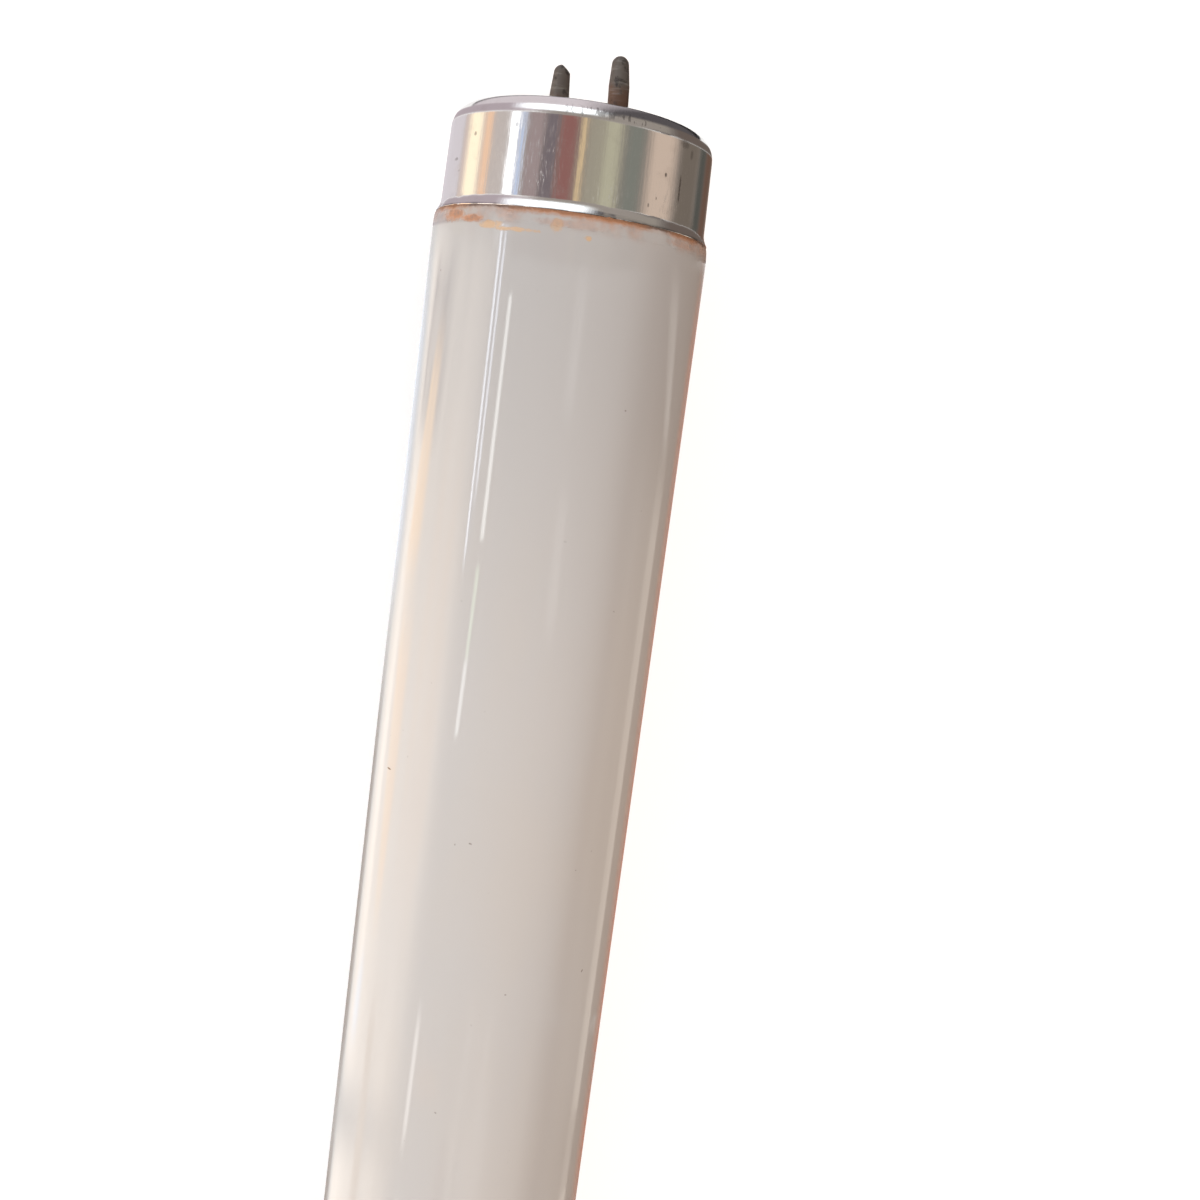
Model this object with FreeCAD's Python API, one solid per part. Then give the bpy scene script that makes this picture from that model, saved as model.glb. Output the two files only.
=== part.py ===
import FreeCAD, Part
import math
import os

# Straight tubular lamp with two contact pins at each end.
# It lies along X. The origin is on its axis, midway between the ends.
# Each end is drawn in its own frame: s runs outwards from the rim of the cap
# along the axis, r is the distance from the axis, and the pins stand side by side.
# All sizes are in millimetres and angles in degrees.

Vector = FreeCAD.Vector

# Whole lamp
length_over_caps = 630.0
glass_diameter = 32.5
glass_wall = 0.85

# Shoulder, where the glass is drawn in to fit the cap
shoulder_start = 1.9
shoulder_angle = 45.0
shoulder_radius = 2.0

# Cap: a drawn aluminium shell, slightly conical, with a lip that flares at the rim
cap_height = 12.2
cap_wall = 0.35
cap_step = 0.65
cap_taper = 0.3
cap_corner_radius = 2.5
inner_corner_flats = 2
lip_height = 1.3
lip_flare = 0.5

# Cement between the neck of the glass and the cap, with a bead under the lip
cement_gap = 0.55
cement_depth = 4.6
bead_reach = 1.15
bead_swell = 0.12

# Insulating plate: a flange behind the end face and a boss that fills its opening
end_face_width = 2.2
plate_clearance = 0.1
plate_edge_clearance = 0.3
plate_flange_thickness = 1.2
plate_groove_depth = 0.4
plate_groove_width = 1.4

# Contact pins
pin_spacing = 12.7
pin_diameter = 2.35
pin_wall = 0.5
pin_length = 7.6
pin_tip_wall = 1.8
pin_taper_length = 3.4
pin_taper_depth = 0.275
pin_root_diameter = 2.7
pin_collar_width = 0.8
pin_collar_thickness = 0.5
pin_tail = 0.3

# Damage at end A: the second pin is short and leans towards the first,
# and the tip of the first pin is cut off at a slant
bent_pin_length = 7.05
bent_pin_lean = 6.5
pin_bend_radius = 6.0
tip_cut_slope = 40.0
tip_cut_heading = 57.0
tip_cut_offset = 0.15

# Glass stem inside the end of the tube
stem_clearance = 2.6
rim_bevel = 0.6
rim_width = 3.7
flare_depth = 18.0
stem_bore_radius = 4.6
stem_wall = 1.1
stem_bore_depth = 26.0
pinch_length = 9.0
pinch_width = 13.0
pinch_thickness = 3.6
exhaust_radius = 1.9
exhaust_tip_length = 3.0
exhaust_tip_depth = 3.2

# Lead wires from the pinch to the pins
wire_diameter = 0.5
wire_spread = 6.8
wire_bend_radius = 3.0
wire_run_at_stem = 8.0
wire_run_at_pin = 2.6

# What follows from the sizes above
glass_radius = glass_diameter / 2
skirt_radius = glass_radius - cap_step
top_radius = skirt_radius - cap_taper
lip_radius = skirt_radius + lip_flare
neck_radius = skirt_radius - cap_wall - cement_gap
rim_x = length_over_caps / 2 - cap_height
opening_radius = top_radius - cap_corner_radius - end_face_width
boss_radius = opening_radius - plate_clearance
flange_radius = top_radius - cap_corner_radius - plate_edge_clearance
pin_radius = pin_diameter / 2
root_radius = pin_root_diameter / 2
bore_radius = pin_radius - pin_wall
plate_back = cap_height - cap_wall - plate_flange_thickness
glass_end = plate_back - stem_clearance
stem_bottom = glass_end - stem_bore_depth
flare_foot = glass_end - flare_depth
mouth_radius = neck_radius - rim_width
wire_radius = wire_diameter / 2

turn_cos = math.cos(math.radians(shoulder_angle))
turn_sin = math.sin(math.radians(shoulder_angle))


def at(s, r):
    """Point in the half plane of a profile, before it is turned about the axis."""
    return Vector(r, 0, s)


def line(a, b):
    return Part.LineSegment(at(*a), at(*b)).toShape()


def arc(a, b, c):
    return Part.Arc(at(*a), at(*b), at(*c)).toShape()


def round_arc(centre, radius, start_angle, end_angle):
    """Arc about a centre in the profile plane. Angle 0 points away from the axis, 90 outwards along it."""
    def on_circle(angle):
        turn = math.radians(angle)
        return centre[0] + radius * math.sin(turn), centre[1] + radius * math.cos(turn)
    middle = (start_angle + end_angle) / 2
    return arc(on_circle(start_angle), on_circle(middle), on_circle(end_angle))


def flats(centre, radius, start_angle, end_angle, count):
    """The same arc in short flats, for a corner that nobody sees."""
    step = (end_angle - start_angle) / count
    angles = [math.radians(start_angle + step * number) for number in range(count + 1)]
    points = [(centre[0] + radius * math.sin(a), centre[1] + radius * math.cos(a)) for a in angles]
    return [line(a, b) for a, b in zip(points, points[1:])]


def turned(edges):
    """Solid of revolution about the axis from the edges of a closed profile."""
    wire = Part.Wire(Part.sortEdges(edges)[0])
    solid = Part.Face(wire).revolve(Vector(0, 0, 0), Vector(0, 0, 1), 360)
    return solid if solid.Volume > 0 else solid.reversed()


# The shoulder bends in from the tube's full width and runs down a cone to the neck
shoulder_centre = (-shoulder_start, glass_radius - shoulder_radius)
cone_top = (shoulder_centre[0] + shoulder_radius * turn_sin, shoulder_centre[1] + shoulder_radius * turn_cos)
neck_foot = (cone_top[0] + (cone_top[1] - neck_radius) * turn_cos / turn_sin, neck_radius)


def glass_outside():
    """Half the bulb as a solid body: its outer skin, the flared stem's hollow and the exhaust tip."""
    tip = glass_end - exhaust_tip_depth
    return turned([
        line((-rim_x, 0), (-rim_x, glass_radius)),
        line((-rim_x, glass_radius), (-shoulder_start, glass_radius)),
        round_arc(shoulder_centre, shoulder_radius, 0, shoulder_angle),
        line(cone_top, neck_foot),
        line(neck_foot, (glass_end - rim_bevel, neck_radius)),
        line((glass_end - rim_bevel, neck_radius), (glass_end, neck_radius - rim_bevel)),
        line((glass_end, neck_radius - rim_bevel), (glass_end, mouth_radius)),
        line((glass_end, mouth_radius), (flare_foot, stem_bore_radius)),
        line((flare_foot, stem_bore_radius), (stem_bottom, stem_bore_radius)),
        line((stem_bottom, stem_bore_radius), (stem_bottom, exhaust_radius)),
        line((stem_bottom, exhaust_radius), (tip - exhaust_tip_length, exhaust_radius)),
        line((tip - exhaust_tip_length, exhaust_radius), (tip, 0)),
        line((tip, 0), (-rim_x, 0)),
    ])


def glass_cavity():
    """Half the sealed space: the tube's inner wall, the back of the flare and the closed stem."""
    inner_radius = glass_radius - glass_wall
    inner_neck = neck_radius - glass_wall
    inner_end = glass_end - glass_wall
    stem_radius = stem_bore_radius + stem_wall
    stem_end = stem_bottom - stem_wall
    return turned([
        line((-rim_x, 0), (-rim_x, inner_radius)),
        line((-rim_x, inner_radius), (-shoulder_start, inner_radius)),
        line((-shoulder_start, inner_radius), (neck_foot[0], inner_neck)),
        line((neck_foot[0], inner_neck), (inner_end, inner_neck)),
        line((inner_end, inner_neck), (inner_end, mouth_radius + stem_wall)),
        line((inner_end, mouth_radius + stem_wall), (flare_foot, stem_radius)),
        line((flare_foot, stem_radius), (stem_end, stem_radius)),
        line((stem_end, stem_radius), (stem_end, 0)),
        line((stem_end, 0), (-rim_x, 0)),
    ])


def stem_pinch():
    """The stem's inner end, pressed flat round the lead wires across the row of pins."""
    top = stem_bottom - stem_wall / 2
    bottom = stem_bottom - stem_wall - pinch_length
    stem_radius = stem_bore_radius + stem_wall
    blank = Part.makeCylinder(pinch_width / 2, top - bottom, Vector(0, 0, bottom))
    middle = (top + bottom) / 2
    side = [(stem_radius, top), (pinch_thickness / 2, middle), (pinch_thickness / 2, bottom)]
    points = [Vector(-pinch_width, y, z) for y, z in side]
    points += [Vector(-pinch_width, -y, z) for y, z in reversed(side)]
    wedge = Part.Face(Part.makePolygon(points + points[:1])).extrude(Vector(2 * pinch_width, 0, 0))
    front = [(stem_radius, top), (pinch_width / 2, middle), (pinch_width / 2, bottom)]
    points = [Vector(x, -pinch_width, z) for x, z in front]
    points += [Vector(-x, -pinch_width, z) for x, z in reversed(front)]
    spread = Part.Face(Part.makePolygon(points + points[:1])).extrude(Vector(0, 2 * pinch_width, 0))
    return blank.common(wedge).common(spread)


# The cap's inner wall, from the flared rim to the waist above it and up to the corner
rim_inside = (0, lip_radius - cap_wall)
waist_inside = (lip_height, skirt_radius - cap_wall)
corner_foot = cap_height - cap_corner_radius
wall_slope = cap_taper / (corner_foot - lip_height)


def cap_shell():
    """Drawn shell: end face with its opening, rounded corner, conical wall and flared lip."""
    corner_centre = (corner_foot, top_radius - cap_corner_radius)
    back = cap_height - cap_wall
    return turned([
        line((cap_height, opening_radius), (cap_height, corner_centre[1])),
        round_arc(corner_centre, cap_corner_radius, 90, 0),
        line((corner_foot, top_radius), (lip_height, skirt_radius)),
        line((lip_height, skirt_radius), (0, lip_radius)),
        line((0, lip_radius), rim_inside),
        line(rim_inside, waist_inside),
        line(waist_inside, (corner_foot, top_radius - cap_wall)),
        *flats(corner_centre, cap_corner_radius - cap_wall, 0, 90, inner_corner_flats),
        line((back, corner_centre[1]), (back, opening_radius)),
        line((back, opening_radius), (cap_height, opening_radius)),
    ])


def cement_ring():
    """Cement that fills the gap from the neck to the cap and swells out in a bead under the lip."""
    drop = shoulder_start - bead_reach
    bead_end = (-bead_reach, shoulder_centre[1] + math.sqrt(shoulder_radius ** 2 - drop ** 2))
    bead_turn = math.degrees(math.asin(drop / shoulder_radius))
    bead_middle = (-bead_reach / 2, (lip_radius + bead_end[1]) / 2 + bead_swell)
    top_inside = (cement_depth, waist_inside[1] - wall_slope * (cement_depth - lip_height))
    return turned([
        round_arc(shoulder_centre, shoulder_radius, bead_turn, shoulder_angle),
        line(cone_top, neck_foot),
        line(neck_foot, (cement_depth, neck_radius)),
        line((cement_depth, neck_radius), top_inside),
        line(top_inside, waist_inside),
        line(waist_inside, rim_inside),
        line(rim_inside, (0, lip_radius)),
        arc((0, lip_radius), bead_middle, bead_end),
    ])


def insulator_plate():
    """Stepped disc with two pin holes and a moulded groove between them."""
    flange_top = cap_height - cap_wall
    body = turned([
        line((plate_back, 0), (plate_back, flange_radius)),
        line((plate_back, flange_radius), (flange_top, flange_radius)),
        line((flange_top, flange_radius), (flange_top, boss_radius)),
        line((flange_top, boss_radius), (cap_height, boss_radius)),
        line((cap_height, boss_radius), (cap_height, 0)),
        line((cap_height, 0), (plate_back, 0)),
    ])
    for side in (-1, 1):
        foot = Vector(side * pin_spacing / 2, 0, plate_back)
        body = body.cut(Part.makeCylinder(root_radius, cap_height - plate_back, foot))
    groove = Part.makeBox(plate_groove_width, 2 * boss_radius, plate_groove_depth,
                          Vector(-plate_groove_width / 2, -boss_radius, cap_height - plate_groove_depth))
    return body.cut(groove)


def pin_shank(reach):
    """The part of a pin that stands clear of the plate, tapered to a closed tip with a round nose."""
    nose_radius = pin_radius - pin_taper_depth
    nose = reach - nose_radius
    bore_end = reach - pin_tip_wall
    return turned([
        line((0, bore_radius), (0, pin_radius)),
        line((0, pin_radius), (reach - pin_taper_length, pin_radius)),
        line((reach - pin_taper_length, pin_radius), (nose, nose_radius)),
        round_arc((nose, 0), nose_radius, 0, 90),
        line((reach, 0), (bore_end, 0)),
        line((bore_end, 0), (bore_end, bore_radius)),
        line((bore_end, bore_radius), (0, bore_radius)),
    ])


def pin_root():
    """The thicker root of a pin, riveted into the plate with a collar behind it."""
    collar_back = plate_back - pin_collar_thickness
    collar_radius = pin_radius + pin_collar_width
    tail = collar_back - pin_tail
    return turned([
        line((tail, bore_radius), (tail, pin_radius)),
        line((tail, pin_radius), (collar_back, pin_radius)),
        line((collar_back, pin_radius), (collar_back, collar_radius)),
        line((collar_back, collar_radius), (plate_back, collar_radius)),
        line((plate_back, collar_radius), (plate_back, root_radius)),
        line((plate_back, root_radius), (cap_height, root_radius)),
        line((cap_height, root_radius), (cap_height, bore_radius)),
        line((cap_height, bore_radius), (tail, bore_radius)),
    ])


def bent(shape, pin):
    """Carry a shape that stands on the pin's own axis round the bend at the foot of the pin."""
    turn = -pin["side"] * pin["lean"]
    shape.rotate(Vector(-pin["side"] * pin_bend_radius, 0, cap_height), Vector(0, 1, 0), turn)
    return shape


def bend_length(pin):
    return pin_bend_radius * math.radians(pin["lean"])


def contact_pin(pin):
    shank_reach = pin["reach"] - bend_length(pin)
    shank = pin_shank(shank_reach)
    if pin["cut"]:
        shank = shank.cut(slanted_cutter(shank_reach))
    shank.translate(Vector(0, 0, cap_height))
    body = pin_root()
    if pin["lean"]:
        rim = Part.Wire(Part.makeCircle(pin_radius, Vector(0, 0, cap_height)))
        hole = Part.Wire(Part.makeCircle(bore_radius, Vector(0, 0, cap_height)))
        ring = Part.Face(rim).cut(Part.Face(hole)).Faces[0]
        centre = Vector(-pin["side"] * pin_bend_radius, 0, cap_height)
        body = body.fuse(ring.revolve(centre, Vector(0, -pin["side"], 0), pin["lean"]))
        shank = bent(shank, pin)
    body = body.fuse(shank).removeSplitter()
    body.translate(Vector(pin["side"] * pin_spacing / 2, 0, 0))
    return body.Solids[0]


def slanted_cutter(reach):
    """Block whose lower face slices the tip off at a slope, leaving one side at full height."""
    width = 4 * pin_diameter
    block = Part.makeBox(width, width, width, Vector(-width / 2, -width / 2, 0))
    block.rotate(Vector(0, 0, 0), Vector(0, 1, 0), tip_cut_slope)
    block.rotate(Vector(0, 0, 0), Vector(0, 0, 1), tip_cut_heading)
    block.translate(Vector(0, 0, reach - tip_cut_offset))
    return block


def lead_wire(pin):
    """Wire from the stem's floor, out past the flare and up inside the pin to its closed tip."""
    side = pin["side"]
    pin_foot = Vector(side * pin_spacing / 2, 0, 0)
    inner_end = cap_height + pin["reach"] - bend_length(pin) - pin_tip_wall
    tip = Part.Vertex(Vector(0, 0, inner_end))
    route = [
        Vector(side * wire_spread / 2, 0, stem_bottom),
        Vector(side * wire_spread / 2, 0, stem_bottom + wire_run_at_stem),
        pin_foot + Vector(0, 0, plate_back - pin_collar_thickness - pin_tail - wire_run_at_pin),
    ]
    if pin["lean"]:
        knee = pin_bend_radius * math.tan(math.radians(pin["lean"] / 2))
        route.append(pin_foot + Vector(0, 0, cap_height + knee))
        tip = bent(tip, pin)
    route.append(pin_foot + tip.Point)
    return round_wire(route)


def round_wire(route):
    """Round bar along straight runs joined by arcs that are tangent to them."""
    edges = []
    start = route[0]
    for before, corner, after in zip(route, route[1:], route[2:]):
        into = (corner - before).normalize()
        out = (after - corner).normalize()
        turn = into.getAngle(out)
        trim = wire_bend_radius * math.tan(turn / 2)
        first = corner - into * trim
        last = corner + out * trim
        sagitta = wire_bend_radius / math.cos(turn / 2) - wire_bend_radius
        middle = corner + (out - into).normalize() * sagitta
        edges.append(Part.LineSegment(start, first).toShape())
        edges.append(Part.Arc(first, middle, last).toShape())
        start = last
    edges.append(Part.LineSegment(start, route[-1]).toShape())
    heading = (route[1] - route[0]).normalize()
    section = Part.Wire(Part.makeCircle(wire_radius, route[0], heading))
    return Part.Wire(edges).makePipeShell([section], True, False)


def end_pieces(pins):
    """Every piece at one end except the glass, in the end's own frame."""
    pieces = {"end_cap": cap_shell(), "cement_ring": cement_ring(), "insulator_plate": insulator_plate()}
    for number, pin in enumerate(pins, start=1):
        pieces[f"contact_pin_{number}"] = contact_pin(pin)
        pieces[f"lead_wire_{number}"] = lead_wire(pin)
    return pieces


# Directions of an end's own axes on the lamp: the row of pins lies along Z at both ends
end_frames = {
    "a": FreeCAD.Placement(FreeCAD.Matrix(0, 0, -1, -rim_x, 0, 1, 0, 0, 1, 0, 0, 0)),
    "b": FreeCAD.Placement(FreeCAD.Matrix(0, 0, 1, rim_x, 0, -1, 0, 0, 1, 0, 0, 0)),
}

straight_pin = {"reach": pin_length, "lean": 0.0, "cut": False}
end_pins = {
    "a": [
        {**straight_pin, "side": -1, "cut": True},
        {**straight_pin, "side": 1, "reach": bent_pin_length, "lean": bent_pin_lean},
    ],
    "b": [{**straight_pin, "side": -1}, {**straight_pin, "side": 1}],
}


def placed(shape, end):
    copy = shape.copy()
    copy.Placement = end_frames[end].multiply(copy.Placement)
    return copy


def glass_tube():
    """The sealed bulb: outer body less its cavity, with a pinch on each stem, all one piece of glass."""
    outside = placed(glass_outside(), "a").fuse(placed(glass_outside(), "b")).removeSplitter()
    cavity = placed(glass_cavity(), "a").fuse(placed(glass_cavity(), "b")).removeSplitter()
    for end in end_frames:
        cavity = cavity.cut(placed(stem_pinch(), end))
    return outside.cut(cavity).Solids[0]


def save(shape, name):
    shape.exportStep(f"parts/{name}.step")
    print(f"{name:22s} volume {shape.Volume:10.2f}  solids {len(shape.Solids)}  valid {shape.isValid()}")


os.makedirs("parts", exist_ok=True)
save(glass_tube(), "glass_tube")
for end, pins in end_pins.items():
    for name, shape in end_pieces(pins).items():
        stem, _, number = name.rpartition("_")
        node = f"{stem}_{end}{number}" if number.isdigit() else f"{name}_{end}"
        save(placed(shape, end), node)
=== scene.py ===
import math
import random

import bmesh
import bpy
from mathutils import Matrix, Vector, noise


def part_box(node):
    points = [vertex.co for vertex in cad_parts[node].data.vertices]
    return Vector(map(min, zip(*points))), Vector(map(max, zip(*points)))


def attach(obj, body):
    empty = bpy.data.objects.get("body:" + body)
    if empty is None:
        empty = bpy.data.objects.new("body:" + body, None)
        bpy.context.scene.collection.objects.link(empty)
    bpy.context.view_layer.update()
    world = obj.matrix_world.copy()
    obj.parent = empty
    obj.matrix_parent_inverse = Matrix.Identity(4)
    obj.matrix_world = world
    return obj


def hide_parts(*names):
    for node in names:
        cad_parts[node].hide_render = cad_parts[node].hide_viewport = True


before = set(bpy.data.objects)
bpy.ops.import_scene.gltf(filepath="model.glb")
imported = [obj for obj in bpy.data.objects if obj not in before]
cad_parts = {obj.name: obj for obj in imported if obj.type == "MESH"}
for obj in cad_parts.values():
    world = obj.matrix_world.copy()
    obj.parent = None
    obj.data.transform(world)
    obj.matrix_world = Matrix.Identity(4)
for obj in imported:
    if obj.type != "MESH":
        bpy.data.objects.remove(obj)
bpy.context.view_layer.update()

mm = 0.001

# Every place below is counted from the frame. End A is the worn end, at low X.
# "Inside" is how far a place lies from the rim of a cap towards the middle of the tube,
# and degrees round the tube are counted from the line that faces the camera.
glassLow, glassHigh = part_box("glass_tube")
glassRadius = (glassHigh.y - glassLow.y) / 2
endDirections = {"a": -1.0, "b": 1.0}

camera = {
    "elevation": math.radians(56.6),
    "distance": 163.4 * mm,       # from the tube's axis
    "footInside": 20.7 * mm,      # it stands over a point this far inside the rim of cap A
    "aimAlong": 22.44 * mm,       # and looks this much further along the tube
    "aimAside": 9.08 * mm,
    "roll": math.radians(7.58),
    "lens": 40.35,
    "sensor": 36,
    "nearest": 0.01,
}
toCamera = Vector((0, -math.cos(camera["elevation"]), math.sin(camera["elevation"])))
toRight = Vector((0, math.sin(camera["elevation"]), math.cos(camera["elevation"])))
alongTube = Vector((1, 0, 0))

(lowA, highA), (lowB, highB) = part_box("end_cap_a"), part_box("end_cap_b")
capRim = {"a": highA.x, "b": lowB.x}
capFace = {"a": lowA.x, "b": highB.x}


def around(degrees):
    turn = math.radians(degrees)
    return toCamera * math.cos(turn) + toRight * math.sin(turn)


cameraFoot = Vector((capRim["a"] + camera["footInside"], 0, 0))
cameraPlace = cameraFoot + toCamera * camera["distance"]


def makeCamera():
    aim = cameraFoot + alongTube * camera["aimAlong"] + toRight * camera["aimAside"]
    forward = (aim - cameraPlace).normalized()
    tubeUp = (-alongTube + forward * alongTube.dot(forward)).normalized()
    up = Matrix.Rotation(-camera["roll"], 3, forward) @ tubeUp
    data = bpy.data.cameras.new("camera")
    data.lens = camera["lens"]
    data.sensor_width = camera["sensor"]
    data.clip_start = camera["nearest"]
    holder = bpy.data.objects.new("camera", data)
    bpy.context.scene.collection.objects.link(holder)
    turn = Matrix((forward.cross(up), up, -forward)).transposed().to_4x4()
    holder.matrix_world = Matrix.Translation(cameraPlace) @ turn
    bpy.context.scene.camera = holder


# A value that a node gives, with the operators that the materials use
class Wire:
    def __init__(self, paint, socket):
        self.paint, self.socket = paint, socket

    def reckon(self, operation, *values):
        return self.paint.node("ShaderNodeMath", {"operation": operation}, dict(enumerate(values)))

    def __add__(self, other):
        return self.reckon("ADD", self, other)

    __radd__ = __add__

    def __sub__(self, other):
        return self.reckon("SUBTRACT", self, other)

    def __rsub__(self, other):
        return self.reckon("SUBTRACT", other, self)

    def __mul__(self, other):
        return self.reckon("MULTIPLY", self, other)

    __rmul__ = __mul__

    def __truediv__(self, other):
        return self.reckon("DIVIDE", self, other)


# A material, or the world, with the nodes that are made for it
class Paint:
    def __init__(self, holder, shader, settings):
        holder.use_nodes = True
        self.material = holder
        self.tree = holder.node_tree
        self.shader = self.tree.nodes[shader]
        for socket, value in settings.items():
            self.shader.inputs[socket].default_value = value

    def node(self, kind, settings, inputs, output=0):
        made = self.tree.nodes.new(kind)
        for name, value in settings.items():
            setattr(made, name, value)
        for name, value in inputs.items():
            if isinstance(value, Wire):
                self.tree.links.new(value.socket, made.inputs[name])
            else:
                made.inputs[name].default_value = value
        return Wire(self, made.outputs[output])

    def feed(self, name, value):
        self.tree.links.new(value.socket, self.shader.inputs[name])

    def place(self):
        return self.node("ShaderNodeTexCoord", {}, {}, "Object")

    def axes(self, vector):
        return [self.node("ShaderNodeSeparateXYZ", {}, {0: vector}, axis) for axis in "XYZ"]

    def stretch(self, vector, scale, turn=(0, 0, 0)):
        return self.node("ShaderNodeMapping", {}, {"Vector": vector, "Scale": scale, "Rotation": turn})

    def grain(self, vector, scale, detail=2.0, rough=0.5):
        settings = {"Vector": vector, "Scale": scale, "Detail": detail, "Roughness": rough}
        return self.node("ShaderNodeTexNoise", {}, settings)

    def ramp(self, value, low, high, start=0.0, end=1.0):
        ends = {"Value": value, "From Min": low, "From Max": high, "To Min": start, "To Max": end}
        return self.node("ShaderNodeMapRange", {"interpolation_type": "SMOOTHSTEP"}, ends)

    def either(self, first, second):
        return first.reckon("MAXIMUM", first, second)

    def mix(self, mask, first, second):
        # sockets 6 and 7 of a Mix node are its two colours, and output 2 is the colour it gives
        inputs = {0: mask}
        for number, value in ((6, first), (7, second)):
            inputs[number] = value if isinstance(value, Wire) else (*value, 1.0)
        return self.node("ShaderNodeMix", {"data_type": "RGBA"}, inputs, 2)

    def bump(self, height, distance, strength):
        settings = {"Height": height, "Distance": distance, "Strength": strength}
        return self.node("ShaderNodeBump", {}, settings)

    # how far a place lies along the tube, towards the camera and to the right
    def sides(self):
        x, y, z = self.axes(self.place())
        return x, y * toCamera.y + z * toCamera.z, y * toRight.y + z * toRight.z

    # how far inside the rim of cap A and of the nearer cap, in mm, and degrees round
    def tubePlace(self):
        x, facing, aside = self.sides()
        turn = self.node("ShaderNodeMath", {"operation": "ARCTAN2"}, {0: aside, 1: facing})
        insideA = (x - capRim["a"]) / mm
        nearer = (capRim["b"] - self.node("ShaderNodeMath", {"operation": "ABSOLUTE"}, {0: x})) / mm
        return insideA, nearer, turn * math.degrees(1)

    # 1 for what the camera, metal and glass see, and 0 for what lights the tube
    def seen(self):
        sight, mirror, through = [self.node("ShaderNodeLightPath", {}, {}, f"Is {kind} Ray")
                                  for kind in ("Camera", "Glossy", "Transmission")]
        return self.either(sight, self.either(mirror, through))

    # soft-edged spots, each with how far inside, degrees round, half length in mm,
    # half width in degrees, and strength
    def spots(self, rows, inside, degrees, ragged, fray):
        mask = None
        for spotInside, spotDegrees, halfLength, halfWidth, strength in rows:
            along = (inside - spotInside) / halfLength
            aside = (degrees - spotDegrees) / halfWidth
            reach = along * along + aside * aside + (ragged - 0.5) * fray
            spot = self.ramp(reach, 0.1, 1.3, strength, 0.0)
            mask = self.either(mask, spot) if mask else spot
        return mask


def newPaint(name, settings):
    return Paint(bpy.data.materials.new(name), "Principled BSDF", settings)


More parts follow.
